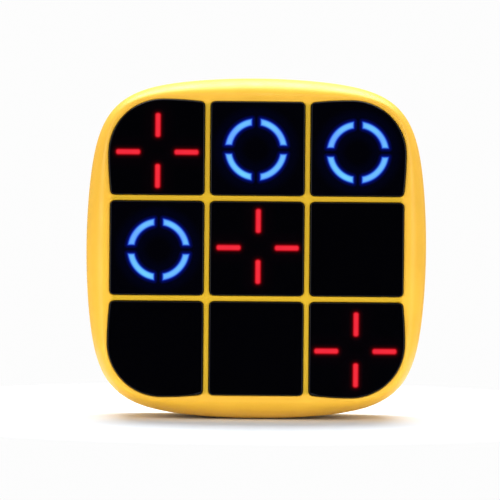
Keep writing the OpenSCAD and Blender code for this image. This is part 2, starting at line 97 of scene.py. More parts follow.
PITCH = 24.7
BAR_W = 1.32
CELL_IN = (PITCH + BAR_W) / 2  # inner and outer edges of an outer opening
CELL_OUT = 36.3
CELL_HALF = (PITCH - BAR_W) / 2
CELL_R = 1.2
CORNER_R = 13.43  # outer corner of a corner opening, and its centre
CORNER_C = 23.34
BULGE_R = 84.6  # its two outer sides
SIDE_SHARE = 0.8  # how much of each outer side has points of its own
CORNER_TURN = (3, 87)  # angles between which the outer corner has points
OPENING_EDGE = 0.15  # rounding of the openings' edges

KEY_GAP = 0.15
KEY_WALL = 0.8
KEY_EDGE = 0.26
KEY_LOW = 23.2
KEY_CHAMFER = 0.1
KEY_TOP_T = 1.0
POST_R = 1.5

STROKE = 1.48
BAR_LEN = 6.15
BAR_END_R = 0.66
BAR_START = (4.0, 3.55, 4.2, 2.85)  # right, up, left, down
RING_R = 6.83
RING_BREAK = 2.3
LEGEND_DROP = 0.4
LEGEND_PROUD = 0.015

COLUMNS = ("left", "centre", "right")
ROWS = ("bottom", "middle", "top")
# Name, column and row of every key
KEYS = [(f"{ROWS[row]}_{COLUMNS[column]}", column, row) for row in (2, 1, 0) for column in (0, 1, 2)]
# What each lit key shows, and how far its light guide has moved in its play
SHOWN = {
    "top_left": ("cross", (0.1, -0.7)),
    "top_centre": ("ring", (-0.4, 0.1)),
    "top_right": ("ring", (0.0, -0.4)),
    "middle_left": ("ring", (0.5, 0.0)),
    "middle_centre": ("cross", (0.3, 0.6)),
    "bottom_right": ("cross", (-0.1, 0.0)),
}
DARK = (None, (0.0, 0.0))

# ---------- sizes of the back ----------

DOOR_Y = -11.7
DOOR_W, DOOR_H, DOOR_R = 52.0, 42.0, 4.0
DOOR_PLAY = 0.15
DOOR_T = BACK_WALL - 0.05
DOOR_SCREW_Y = 6.3
DOOR_POST_R = 2.6
DOOR_POST_TOP = 9
DOOR_FRAME_W = 1.2  # how far the door's ledge reaches past it inside the shell
LEDGE_TOP = BACK_WALL + 1.4
DOOR_RIB = (40, 1)
DOOR_RIB_TOP = BACK_WALL + 1.2
CELL_Y = -13.0
CELL_PITCH = 11.0
GRIP_COUNT = 7  # grooves for a fingertip
GRIP_PITCH = 2.4
GRIP = (1, 4.6)
GRIP_Y = DOOR_Y - DOOR_H / 2 + 5

BAY_HALF = 24.2
BAY_LOW, BAY_HIGH = -29.6, 3.6
BAY_Y, BAY_H = (BAY_LOW + BAY_HIGH) / 2, BAY_HIGH - BAY_LOW
BAY_FLOOR = 13.1
BAY_RIB = 1.2

BOSS_X, BOSS_Y = 34.5, PITCH / 2
BOSS_R = 3.6
COUNTERBORE_R = 2.6
SCREW_SEAT = 9.0
SCREW_R = 1.25
SCREW_HEAD_R, SCREW_HEAD_T = 2.4, 1.7
SCREW_END = 19
DOOR_SCREW_R = 1.1
DOOR_HEAD_R, DOOR_HEAD_T = 2.1, 0.85
DOOR_SCREW_LOW, DOOR_SCREW_END = 0.05, 7
CROSS_REACH = 0.62  # length of each arm of the cross recess, of the head's radius
CROSS_W = 0.62
POINT_T = 0.4  # length of a screw's tapered point, and its end's share of the radius
POINT_SHARE = 0.6

SPEAKER = (0.0, 23.0)
GRILLE_R = 0.8
GRILLE_PITCH = 3.1

MODE = (-22.0, 22.0)
MODE_R = 4.0
MODE_EDGE = 0.5
MODE_FLANGE_LOW = BACK_WALL + 0.05
MODE_FLANGE = (1, 1)  # width and thickness
MODE_STEM_R = 1.75
MODE_STEM_END = 13.8
MODE_POINT_R = 1.2
DISH_R = (0.3, 2.9)  # radius of the fingertip dish's first and last ring
DISH_DEPTH = (0.3, 0.08)  # depth of those two rings
DISH_STEPS = 8

POWER = (22.0, 22.0)
KNOB = (5.0, 3.0)
KNOB_R = 0.45
KNOB_FACE = 0.4
KNOB_PLAY = 0.4
KNOB_SLIDE = (6.6, 4.4)
KNOB_SLIDE_LOW, KNOB_SLIDE_HIGH = BACK_WALL + 0.7, 5.1
KNOB_TRAVEL = 3.0
KNOB_RIB_COUNT = 5
KNOB_RIB_PITCH = 0.84
KNOB_RIB = (0.4, KNOB[1] - 0.5)
KNOB_RIB_TOP = 0.1

# ---------- colours ----------

YELLOW = (0.93, 0.5, 0.026)
YELLOW_LIGHT = (0.97, 0.53, 0.032)
# Painted shade: the grid bars, recessed between the proud black keys, are coloured darker than the rest of
# the housing
YELLOW_GRID_PAINTED_SHADE = (0.72, 0.43, 0.001)
KEY_BLACK = (0.0006, 0.0006, 0.0012)
PLASTIC_BLACK = (0.012, 0.012, 0.014)
ZINC = (0.52, 0.52, 0.53)
BOARD_GREEN = (0.012, 0.09, 0.035)
SLEEVE_GREEN = (0.02, 0.16, 0.06)
COPPER = (0.72, 0.33, 0.16)
NICKEL = (0.6, 0.58, 0.54)
FLOOR_WHITE = (0.8, 0.84, 0.89)
WHITE = (1, 1, 1, 1)

# Light of the lit segments: millimetres from the segment's edge, below 0 inside it, and the colour there
RED_LIGHT = (
    (-0.74, (1.0, 0.028, 0.05)),
    (-0.36, (0.98, 0.022, 0.04)),
    (-0.16, (0.62, 0.008, 0.016)),
    (0.06, (0.12, 0.0, 0.001)),
    (0.4, (0.01, 0.0, 0.0004)),
    (1.2, (0.001, 0.0, 0.0002)),
    (4.0, (0.0, 0.0, 0.0)),
)
BLUE_LIGHT = (
    (-0.74, (0.17, 0.55, 1.0)),
    (-0.3, (0.15, 0.46, 1.0)),
    (-0.06, (0.05, 0.2, 0.85)),
    (0.14, (0.004, 0.016, 0.34)),
    (0.45, (0.0003, 0.002, 0.07)),
    (1.1, (0.0, 0.0003, 0.006)),
    (4.0, (0.0, 0.0, 0.0008)),
)
# The light's tint varies between these two over the face of a key
UNEVEN_LIGHT = ((0.86, 0.74, 1), (1, 1.22, 1))

# ---------- stage, in metres ----------

FLOOR_R = 0.11
FLOOR_Y = 0.03
WORLD_LIGHT = 0.6
BACKGROUND = 0.98

# Name, place, what it faces, size and power of each light
LIGHTS = (
    ("top_light", (0, 0.21, 0.6), (0, 0, 0.05), (0.8, 0.32), 7.5),
    ("front_top_light", (0, -0.5, 0.32), (0, 0, 0.05), (0.4, 0.15), 0.75),
    ("left_softbox", (-0.46, -0.48, 0.12), (0, 0, 0.04), (0.45, 0.45), 2.3),
    ("right_softbox", (0.46, -0.48, 0.12), (0, 0, 0.04), (0.45, 0.45), 2.2),
)

SENSOR_W = 36.0
CAMERA_DISTANCE = 0.6
CAMERA_AZIMUTH = -0.6
CAMERA_ELEVATION = 0.3
CAMERA_ROLL = 0.5
FRAME_WIDTH = 125.25 * MM  # width of the view at the housing's widest line
OBJECT_RIGHT = 1.54 * MM  # how far the game stands to the right of the view's middle, and above it
OBJECT_UP = 0.42 * MM


def place(x, y, h):
    return Vector((x * MM, (BODY_T / 2 - h) * MM, (y + HALF) * MM))


# ---------- outlines ----------


def arc(cx, cy, r, start, end, steps):
    angles = [math.radians(start + (end - start) * i / steps) for i in range(steps + 1)]
    return [(cx + r * math.cos(a), cy + r * math.sin(a)) for a in angles]


def circle(cx, cy, r, steps=48):
    return arc(cx, cy, r, 0, 360 - 360 / steps, steps - 1)


def round_rect(cx, cy, w, h, r, steps=6):
    points = []
    for quarter, (sx, sy) in enumerate(((1, 1), (-1, 1), (-1, -1), (1, -1))):
        x, y = cx + sx * (w / 2 - r), cy + sy * (h / 2 - r)
        points += arc(x, y, r, 90 * quarter, 90 * quarter + 90, steps)
    return points


def squircle(size, squareness, bulge):
    """A square with round corners, whose sides swell by the share bulge."""
    points = []
    for i in range(RING):
        a = 2 * math.pi * i / RING
        c, s = math.cos(a), math.sin(a)
        r = size / (abs(c) ** squareness + abs(s) ** squareness) ** (1 / squareness)
        x, y = r * c, r * s
        points.append((x * (1 - bulge * (y / size) ** 2), y * (1 - bulge * (x / size) ** 2)))
    return points


def mix(a, b, t):
    return [(p[0] * (1 - t) + q[0] * t, p[1] * (1 - t) + q[1] * t) for p, q in zip(a, b)]


def outer(inset=0.0):
    """The housing's widest outline."""
    return squircle(HALF - inset, OUTER_SQUARENESS, SIDE_BULGE)


def back(inset=0.0):
    """The flat back's outline."""
    return squircle(BACK_HALF - inset, OUTER_SQUARENESS, SIDE_BULGE)


def clear_of_bosses(points):
    """An outline, kept off the screw bosses that stand against the rear hollow's wall."""
    kept = []
    for x, y in points:
        off = abs(abs(y) - BOSS_Y)
        if off < BOSS_R and abs(x) > BOSS_X - BOSS_R:
            x = math.copysign(min(abs(x), BOSS_X - math.sqrt(BOSS_R**2 - off**2)), x)
        kept.append((x, y))
    return kept


def corner_opening(g):
    """Opening of the top right key, taken in by g."""
    r, low = CELL_R - g, CELL_IN + g
    bulge_r = BULGE_R - g
    bulge_c = CORNER_C + CORNER_R - BULGE_R
    sweep = math.degrees(math.asin((CORNER_C - low - r) / bulge_r))
    side = bulge_c + bulge_r * math.cos(math.radians(sweep))
    return (
        arc(low + r, low + r, r, 180, 270, 6)
        + arc(side - r, low + r, r, 270, 360 - sweep, 6)
        + arc(bulge_c, CORNER_C, bulge_r, -sweep * SIDE_SHARE, 0, 5)
        + arc(CORNER_C, CORNER_C, CORNER_R - g, *CORNER_TURN, 28)
        + arc(CORNER_C, bulge_c, bulge_r, 90, 90 + sweep * SIDE_SHARE, 5)
        + arc(low + r, side - r, r, 90 + sweep, 180, 6)
    )


def key_outline(column, row, g):
    """Opening of a key at its place, taken in by g."""
    if column == 1 and row == 1:
        return round_rect(0, 0, 2 * (CELL_HALF - g), 2 * (CELL_HALF - g), CELL_R - g)
    if column == 1 or row == 1:
        middle, width = (CELL_OUT + CELL_IN) / 2, CELL_OUT - CELL_IN
        base = round_rect(middle, 0, width - 2 * g, 2 * (CELL_HALF - g), CELL_R - g)
    else:
        base = corner_opening(g)
    sx, sy = (-1 if column == 0 else 1), (-1 if row == 0 else 1)
    if column == 1:
        return [(y, sy * x) for x, y in base]
    return [(sx * x, sy * y if row != 1 else y) for x, y in base]


def plus(cx, cy, reach, width):
    """Outline of a cross-head recess."""
    w = width / 2
    corner = [(reach, -w), (reach, w), (w, w)]
    points = []
    for _ in range(4):
        points += corner
        corner = [(-y, x) for x, y in corner]
    return [(cx + x, cy + y) for x, y in points]


def round_shape(x, y, r, steps=48):
    return lambda g: circle(x, y, r - g, steps)


def rect_shape(x, y, w, h, r, steps=6):
    return lambda g: round_rect(x, y, w - 2 * g, h - 2 * g, r - g, steps)


def plus_shape(x, y, reach, width):
    return lambda g: plus(x, y, reach - g, width - 2 * g)


def key_shape(column, row, inset=0.0):
    return lambda g: key_outline(column, row, inset + g)


# ---------- mesh building ----------

CREASE = math.radians(35)  # edges sharper than this aren't smoothed
FLAT_WEIGHT = 80  # how strongly large faces hold the shading at their corners
SAME_POINT = 1e-7


def inside(point, loop):
    x, y = point
    hit = False
    for (ax, ay), (bx, by) in zip(loop, loop[1:] + loop[:1]):
        if (ay > y) != (by > y) and x < (bx - ax) * (y - ay) / (by - ay) + ax:
            hit = not hit
    return hit


class Skin:
    """A closed surface made of loops of points, the strips between them and the flat regions they bound."""

    def __init__(self):
        self.points = []
        self.faces = []

    def loop(self, outline, h):
        start = len(self.points)
        self.points += [(x, y, h) for x, y in outline]
        return list(range(start, len(self.points)))

    def bridge(self, a, b):
        n = len(a)
        self.faces += [(a[i], a[(i + 1) % n], b[(i + 1) % n], b[i]) for i in range(n)]

    def sweep(self, rows, start=None):
        """Strips through rows of (outline, h), from an existing loop if one is given.

        Returns the last loop."""
        for outline, h in rows:
            ring = self.loop(outline, h)
            if start is not None:
                self.bridge(start, ring)
            start = ring
        return start

    def fill(self, border, holes=()):
        """Flat region inside border and outside the holes, all of them loops at one height."""
        loops = [border, *holes]
        flat = [[self.points[i][:2] for i in ring] for ring in loops]
        indices = [i for ring in loops for i in ring]
        edges, at = [], 0
        for ring in loops:
            n = len(ring)
            edges += [(at + i, at + (i + 1) % n) for i in range(n)]
            at += n
        coords = [Vector(self.points[i][:2]) for i in indices]
        found = delaunay_2d_cdt(coords, edges, [], 0, SAME_POINT)
        coords, triangles, sources = found[0], found[2], found[3]
        for triangle in triangles:
            middle = sum((coords[i] for i in triangle), Vector((0, 0))) / 3
            if inside(middle, flat[0]) and not any(inside(middle, hole) for hole in flat[1:]):
                self.faces.append(tuple(indices[sources[i][0]] for i in triangle))

    def pocket(self, shape, level, depth, edge, steps=5):
        """Walls of a hole that goes from level to depth, with a rounded edge at level.

        Returns its loop at level and its loop at depth."""
        way = math.copysign(1, depth - level)
        rows = []
        for i in range(steps + 1):
            a = math.pi / 2 * i / steps
            rows.append((shape(-edge * (1 - math.sin(a))), level + way * edge * (1 - math.cos(a))))
        mouth = self.loop(*rows[0])
        return mouth, self.sweep(rows[1:] + [(shape(0), depth)], mouth)

    def column(self, outline, level, top):
        """A plain column on a face at level. Returns its foot's loop."""
        foot = self.loop(outline, level)
        self.fill(self.sweep([(outline, top)], foot))
        return foot

    def build(self, name, material, body, replaces, origin=None):
        origin = origin or Vector((0, 0, 0))
        mesh = bpy.data.meshes.new(name)
        mesh.from_pydata([place(*p) - origin for p in self.points], [], self.faces)
        bm = bmesh.new()
        bm.from_mesh(mesh)
        bmesh.ops.recalc_face_normals(bm, faces=bm.faces)
        for face in bm.faces:
            face.smooth = True
        for edge in bm.edges:
            edge.smooth = len(edge.link_faces) != 2 or edge.calc_face_angle() < CREASE
        bm.to_mesh(mesh)
        bm.free()
        mesh.materials.append(material)
        piece = bpy.data.objects.new(name, mesh)
        piece.location = origin
        weighted = piece.modifiers.new("flat_faces_stay_flat", "WEIGHTED_NORMAL")
        weighted.keep_sharp = True
        weighted.weight = FLAT_WEIGHT
        bpy.context.scene.collection.objects.link(piece)
        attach(piece, body)
        if replaces:
            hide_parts(*replaces)


def rounded_end(shape, side, top, edge, steps=6):
    """Rows from a wall at height side over a rounded edge to a face at top."""
    way = math.copysign(1, top - side)
    rows = [(shape(0), side)]
    for i in range(steps + 1):
        a = math.pi / 2 * i / steps
        rows.append((shape(edge * (1 - math.cos(a))), top - way * edge * (1 - math.sin(a))))
    return rows


# ---------- materials ----------


def new_material(name, colour, roughness):
    material = bpy.data.materials.new(name)
    material.use_nodes = True
    shader = material.node_tree.nodes["Principled BSDF"]
    shader.inputs["Base Color"].default_value = (*colour, 1)
    shader.inputs["Roughness"].default_value = roughness
    return material, material.node_tree, shader


def add_node(tree, kind, settings=None, **inputs):
    """A new node. settings are its properties, and inputs are values or sockets for its inputs by name.

    An input named _0 or _1 is the one at that place, for nodes whose inputs share a name."""
    node = tree.nodes.new(kind)
    for key, value in (settings or {}).items():
        setattr(node, key, value)
    for key, value in inputs.items():
        socket = node.inputs[int(key[1:])] if key[0] == "_" else node.inputs[key.replace("_", " ")]
        if isinstance(value, bpy.types.NodeSocket):
            tree.links.new(value, socket)
        else:
            socket.default_value = value
    return node


def maths(tree, operation, a, b=0.0):
    return add_node(tree, "ShaderNodeMath", {"operation": operation}, _0=a, _1=b).outputs[0]


def object_coords(tree):
    return add_node(tree, "ShaderNodeTexCoord").outputs["Object"]


def object_axes(tree):
    """Sockets X, Y and Z of the place on the object."""
    return add_node(tree, "ShaderNodeSeparateXYZ", Vector=object_coords(tree)).outputs


def noise(tree, size, detail, distortion=0.0):
    """Noise whose features are about size millimetres across."""
    node = add_node(
        tree,
        "ShaderNodeTexNoise",
        Vector=object_coords(tree),
        Scale=1 / (size * MM),
        Detail=detail,
        Distortion=distortion,
    )
    return node.outputs["Fac"]


def mapped(tree, value, low, high, from_low=0.3, from_high=0.7):
    """value, so that from_low becomes low and from_high becomes high. Noise lies mostly in 0.3 to 0.7."""
    node = add_node(tree, "ShaderNodeMapRange", Value=value, From_Min=from_low, From_Max=from_high)
    node.inputs["To Min"].default_value = low
    node.inputs["To Max"].default_value = high
    return node.outputs["Result"]


def blend_colours(tree, factor, a, b):
    node = add_node(tree, "ShaderNodeMix", {"data_type": "RGBA"})
    tree.links.new(factor, node.inputs["Factor"])
    for socket, colour in ((node.inputs[6], a), (node.inputs[7], b)):
        if isinstance(colour, bpy.types.NodeSocket):
            tree.links.new(colour, socket)
        else:
            socket.default_value = (*colour, 1)
    return node.outputs[2]


def scaled(colour, share):
    return tuple(min(1, c * share) for c in colour)


def add_bump(tree, shader, height, depth, strength=1.0):
    """depth is the height of the bumps in millimetres."""
    bump = add_node(tree, "ShaderNodeBump", Height=height, Distance=depth * MM, Strength=strength)
    tree.links.new(bump.outputs["Normal"], shader.inputs["Normal"])


def moulded(name, colour, roughness, grain, depth=0.004):
    """Moulded plastic or resin: faint mottling, uneven gloss and a fine grain."""
    material, tree, shader = new_material(name, colour, roughness)
    mottling = mapped(tree, noise(tree, size=9, detail=3), 0, 1)
    mottled = blend_colours(tree, mottling, scaled(colour, 0.92), scaled(colour, 1.04))
    tree.links.new(mottled, shader.inputs["Base Color"])
    gloss = mapped(tree, noise(tree, size=3, detail=4), roughness * 0.85, roughness * 1.2)
    tree.links.new(gloss, shader.inputs["Roughness"])
    add_bump(tree, shader, noise(tree, size=grain, detail=3), depth)
    return material


def grid_bar_painted_shade_mask(tree):
    """Mask for the painted shade on the grid bars: 1 on their faces and 0 elsewhere on the housing."""
    axes = object_axes(tree)
    x = maths(tree, "ABSOLUTE", axes["X"])
    y = maths(tree, "ABSOLUTE", maths(tree, "SUBTRACT", axes["Z"], HALF * MM))
    aside = [maths(tree, "ABSOLUTE", maths(tree, "SUBTRACT", v, PITCH / 2 * MM)) for v in (x, y)]
    nearest = maths(tree, "MINIMUM", *aside)
    farthest = maths(tree, "MAXIMUM", x, y)
    face = (SPLIT - FRONT) * MM
    bar = mapped(tree, nearest, 1, 0, 0.8 * BAR_W * MM, 1.2 * BAR_W * MM)
    field = mapped(tree, farthest, 1, 0, (CELL_OUT - 1) * MM, CELL_OUT * MM)
    near_face = mapped(tree, axes["Y"], 1, 0, face, face + 0.1 * MM)
    return maths(tree, "MULTIPLY", maths(tree, "MULTIPLY", bar, field), near_face)


def housing_plastic():
    """Golden yellow plastic with a fine spark-eroded grain, faint flow marks, a satin gloss and painted
    shade on the grid bars.
    """
    material, tree, shader = new_material("yellow_plastic", YELLOW, 0.45)
    shader.inputs["Subsurface Weight"].default_value = 0.06
    shader.inputs["Subsurface Radius"].default_value = (0.0016, 0.0008, 0.0002)
    shader.inputs["Subsurface Scale"].default_value = 1.0
    flow = mapped(tree, noise(tree, size=16, detail=4, distortion=1.2), 0, 1)
    colour = blend_colours(tree, flow, scaled(YELLOW, 0.965), YELLOW_LIGHT)
    # Painted shade: the grid bars are darkened as if shaded by the keys beside them
    colour = blend_colours(tree, grid_bar_painted_shade_mask(tree), colour, YELLOW_GRID_PAINTED_SHADE)
    tree.links.new(colour, shader.inputs["Base Color"])
    gloss = mapped(tree, noise(tree, size=4, detail=4), 0.42, 0.52)
    tree.links.new(gloss, shader.inputs["Roughness"])
    waviness = mapped(tree, noise(tree, size=2.6, detail=2), 0, 0.8)
    grain = maths(tree, "ADD", noise(tree, size=0.22, detail=2), waviness)
    add_bump(tree, shader, grain, depth=0.005, strength=0.7)
    return material


def length(tree, a, b):
    squares = [maths(tree, "MULTIPLY", v, v) for v in (a, b)]
    return maths(tree, "SQRT", maths(tree, "ADD", *squares))


def outside_corner(tree, a, b):
    """Distance to a corner region from its signed distances a and b to two edges at right angles."""
    far = length(tree, maths(tree, "MAXIMUM", a, 0.0), maths(tree, "MAXIMUM", b, 0.0))
    near = maths(tree, "MINIMUM", maths(tree, "MAXIMUM", a, b), 0.0)
    return maths(tree, "ADD", far, near)


def face_coords(tree):
    """x and y on the key's face in millimetres, from the middle of its legend."""
    axes = object_axes(tree)
    return [maths(tree, "MULTIPLY", axes[axis], 1 / MM) for axis in ("X", "Z")]


def cross_distance(tree):
    """Distance from the bars of the cross in millimetres, below 0 inside them."""
    x, y = face_coords(tree)
    bars = []
    for side, (along, across, way) in enumerate(((x, y, 1), (y, x, 1), (x, y, -1), (y, x, -1))):
        middle = way * (BAR_START[side] + BAR_LEN / 2)
        a = maths(tree, "ABSOLUTE", maths(tree, "SUBTRACT", along, middle))
        a = maths(tree, "SUBTRACT", a, BAR_LEN / 2 - BAR_END_R)
        b = maths(tree, "SUBTRACT", maths(tree, "ABSOLUTE", across), STROKE / 2 - BAR_END_R)
        bars.append(maths(tree, "SUBTRACT", outside_corner(tree, a, b), BAR_END_R))
    nearest = bars[0]
    for bar in bars[1:]:
        nearest = maths(tree, "MINIMUM", nearest, bar)
    return nearest


def ring_distance(tree):
    """Distance from the arcs of the ring in millimetres, below 0 inside them."""
    x, y = face_coords(tree)
    off_line = maths(tree, "ABSOLUTE", maths(tree, "SUBTRACT", length(tree, x, y), RING_R))
    band = maths(tree, "SUBTRACT", off_line, STROKE / 2)
    axis = maths(tree, "MINIMUM", maths(tree, "ABSOLUTE", x), maths(tree, "ABSOLUTE", y))
    gap = maths(tree, "SUBTRACT", RING_BREAK / 2, axis)
    return outside_corner(tree, band, gap)


def light_colour(tree, distance, stops):
    """Colour of the light at a distance from the lit segments, slightly uneven over the face."""
    nearest, farthest = stops[0][0], stops[-1][0]
    ramp = add_node(tree, "ShaderNodeValToRGB", Fac=mapped(tree, distance, 0, 1, nearest, farthest))
    ramp.color_ramp.interpolation = "EASE"
    elements = ramp.color_ramp.elements
    while len(elements) < len(stops):
        elements.new(0.5)
    for element, (mm, colour) in zip(elements, stops):
        element.position = (mm - nearest) / (farthest - nearest)
        element.color = (*colour, 1)
    uneven = blend_colours(tree, mapped(tree, noise(tree, size=9, detail=2), 0, 1), *UNEVEN_LIGHT)
    lit = add_node(tree, "ShaderNodeMix", {"data_type": "RGBA", "blend_type": "MULTIPLY"}, _0=1.0)
    tree.links.new(ramp.outputs["Color"], lit.inputs[6])
    tree.links.new(uneven, lit.inputs[7])
    return lit.outputs[2]


def smoked_acrylic(name, distance=None, stops=()):
    """Polished, almost black acrylic. Light bleeds from lit segments at a distance, as stops say."""
    material, tree, shader = new_material(name, KEY_BLACK, 0.065)
    shader.inputs["IOR"].default_value = 1.49
    shader.inputs["Specular IOR Level"].default_value = 0.16
    gloss = mapped(tree, noise(tree, size=7, detail=5, distortion=0.6), 0.045, 0.085)
    tree.links.new(gloss, shader.inputs["Roughness"])
    add_bump(tree, shader, noise(tree, size=6, detail=1), depth=0.004, strength=0.5)
    if distance:
        tree.links.new(light_colour(tree, distance(tree), stops), shader.inputs["Emission Color"])
        shader.inputs["Emission Strength"].default_value = 1.0
    return material


def circuit_board():
    """Green solder mask over copper tracks."""
    material, tree, shader = new_material("solder_mask", BOARD_GREEN, 0.3)
    axes = object_axes(tree)
    flat = add_node(tree, "ShaderNodeCombineXYZ", X=axes["X"], Y=axes["Z"])
    tracks = add_node(
        tree,
        "ShaderNodeTexBrick",
        {"offset": 0.37, "squash": 1.6},
        Vector=flat.outputs[0],
        Scale=1 / (6 * MM),
        Mortar_Size=0.035,
    ).outputs["Fac"]
    over_copper = blend_colours(tree, tracks, BOARD_GREEN, scaled(BOARD_GREEN, 2.2))
    tree.links.new(over_copper, shader.inputs["Base Color"])
    add_bump(tree, shader, tracks, depth=0.03)
    return material


def battery_sleeve(name, way):
    """Green film sleeve with a copper-coloured end and a bare tip on the side that way points to."""
    band_start, tip_start = 12 * MM, 22.2 * MM
    material, tree, shader = new_material(name, SLEEVE_GREEN, 0.25)
    along = maths(tree, "MULTIPLY", object_axes(tree)["X"], way)
    band = maths(tree, "GREATER_THAN", along, band_start)
    tip = maths(tree, "GREATER_THAN", along, tip_start)
    colour = blend_colours(tree, band, SLEEVE_GREEN, COPPER)
    tree.links.new(blend_colours(tree, tip, colour, NICKEL), shader.inputs["Base Color"])
    tree.links.new(maths(tree, "MULTIPLY", band, 0.85), shader.inputs["Metallic"])
    add_bump(tree, shader, noise(tree, size=3, detail=3), depth=0.01)
    return material


def brushed_metal(name, colour, roughness, streak):
    """Plated or brushed metal with streaks streak millimetres apart."""
    stretch = (1, 1, 8)
    material, tree, shader = new_material(name, colour, roughness)
    shader.inputs["Metallic"].default_value = 1.0
    along = add_node(tree, "ShaderNodeMapping", Vector=object_coords(tree), Scale=stretch).outputs[0]
    scale = 1 / (streak * MM)
    streaks = add_node(tree, "ShaderNodeTexNoise", Vector=along, Scale=scale, Detail=3.0).outputs["Fac"]
    gloss = mapped(tree, streaks, roughness * 0.7, roughness * 1.5)
    tree.links.new(gloss, shader.inputs["Roughness"])
    tarnish = mapped(tree, noise(tree, size=2, detail=3), 0, 1)
    tree.links.new(blend_colours(tree, tarnish, scaled(colour, 0.8), colour), shader.inputs["Base Color"])
    add_bump(tree, shader, streaks, depth=0.003)
    return material


yellow = housing_plastic()
acrylic = {
    None: smoked_acrylic("smoked_acrylic"),
    "cross": smoked_acrylic("smoked_acrylic_red", cross_distance, RED_LIGHT),
    "ring": smoked_acrylic("smoked_acrylic_blue", ring_distance, BLUE_LIGHT),
}
black_plastic = moulded("black_plastic", PLASTIC_BLACK, 0.42, grain=0.2, depth=0.006)
zinc = brushed_metal("zinc_plate", ZINC, 0.28, streak=0.4)


# ---------- housing ----------


def shell_side(face, face_h, band_h, steps):
    """Rows from the parting line over the straight band and the curved side to the face's outline."""
    way = math.copysign(1, face_h - SPLIT)
    rows = [
        (outer(SEAM_SHOULDER), SPLIT + way * SEAM_SHOULDER),
        (outer(), SPLIT + way * SEAM),
        (outer(), band_h),
    ]
    for i in range(1, steps + 1):
        a = math.pi / 2 * i / steps
        rows.append((mix(outer(), face, 1 - math.cos(a)), band_h + (face_h - band_h) * math.sin(a)))
    return rows


def front_cover():
    skin = Skin()
    seam = skin.loop(outer(SEAM), SPLIT)
    field = squircle(FIELD_HALF, FIELD_SQUARENESS, FIELD_BULGE)
    rim = skin.sweep(shell_side(field, FRONT, BAND_HIGH, FRONT_CURVE_STEPS), seam)
    mouths, throats = [], []
    for _, column, row in KEYS:
        mouth, throat = skin.pocket(key_shape(column, row), FRONT, PLATE_LOW, OPENING_EDGE)
        mouths.append(mouth)
        throats.append(throat)
    skin.fill(rim, mouths)
    hollow = squircle(FRONT_HOLLOW_HALF, FRONT_HOLLOW_SQUARENESS, FIELD_BULGE)
    hollow_top = skin.loop(hollow, PLATE_LOW)
    skin.fill(hollow_top, throats)
    hollow_low = skin.sweep([(outer(WALL), FRONT_HOLLOW_SIDE), (outer(WALL), SPLIT)], hollow_top)
    skin.bridge(hollow_low, seam)
    skin.build("front_cover", yellow, "housing", ["front_shell"])


def grille_holes():
    """Centres of the holes in front of the speaker: one in the middle and two rings."""
    places = [SPEAKER]
    for ring in (1, 2):
        places += circle(*SPEAKER, GRILLE_PITCH * ring, 6 * ring)
    return places


def through_holes(skin):
    """The holes through the back. Returns their loops outside and inside."""
    slot = (KNOB[0] + KNOB_TRAVEL + KNOB_PLAY, KNOB[1] + KNOB_PLAY)
    holes = [(round_shape(x, y, GRILLE_R, 20), 0.18) for x, y in grille_holes()]
    holes.append((round_shape(*MODE, MODE_R + KEY_GAP, 64), 0.3))
    holes.append((rect_shape(*POWER, *slot, 0.3), 0.25))
    loops = [skin.pocket(shape, 0, BACK_WALL, edge, steps=4) for shape, edge in holes]
    return [mouth for mouth, _ in loops], [end for _, end in loops]


def counterbores(skin):
    """The four deep holes that the shell screws sit in. Returns their loops in the back."""
    mouths = []
    for sx in (-1, 1):
        for sy in (-1, 1):
            bore = round_shape(sx * BOSS_X, sy * BOSS_Y, COUNTERBORE_R, 40)
            mouth, seat = skin.pocket(bore, 0, SCREW_SEAT, edge=0.3)
            mouths.append(mouth)
            skin.fill(seat)
    return mouths


def door_recess(skin):
    """The recess for the door, the bay behind it and the hole for its screw. Returns its loop."""
    recess = rect_shape(0, DOOR_Y, DOOR_W, DOOR_H, DOOR_R, 10)
    bay = rect_shape(0, BAY_Y, 2 * BAY_HALF, BAY_H, 0.6, 3)
    screw_hole = round_shape(0, DOOR_SCREW_Y, 1.3, 32)
    mouth, ledge = skin.pocket(recess, 0, BACK_WALL, edge=0.2)
    bay_mouth, bay_floor = skin.pocket(bay, BACK_WALL, BAY_FLOOR, edge=0.2)
    screw_mouth, screw_end = skin.pocket(screw_hole, BACK_WALL, DOOR_POST_TOP - 1, edge=0.2)
    skin.fill(ledge, [bay_mouth, screw_mouth])
    skin.fill(bay_floor)
    skin.fill(screw_end)
    return mouth


def bay_from_inside(skin):
    """The ledge's frame, the bay's walls and the screw's post inside the shell. Returns their foot."""
    frame_shape = round_rect(0, DOOR_Y, DOOR_W + 2 * DOOR_FRAME_W, DOOR_H + 2 * DOOR_FRAME_W, DOOR_R)
    foot = skin.loop(frame_shape, BACK_WALL)
    frame_top = skin.sweep([(frame_shape, LEDGE_TOP)], foot)
    bay_walls = round_rect(0, BAY_Y, 2 * (BAY_HALF + BAY_RIB), BAY_H + 2 * BAY_RIB, 0.8, 3)
    flat_y = BAY_HIGH + BAY_RIB + 0.05
    flat = math.degrees(math.asin((DOOR_SCREW_Y - flat_y) / DOOR_POST_R))
    screw_post = arc(0, DOOR_SCREW_Y, DOOR_POST_R, -flat, 180 + flat, 24)
    columns = [
        skin.column(bay_walls, LEDGE_TOP, BAY_FLOOR + BAY_RIB),
        skin.column(screw_post, LEDGE_TOP, DOOR_POST_TOP),
    ]
    skin.fill(frame_top, columns)
    return foot


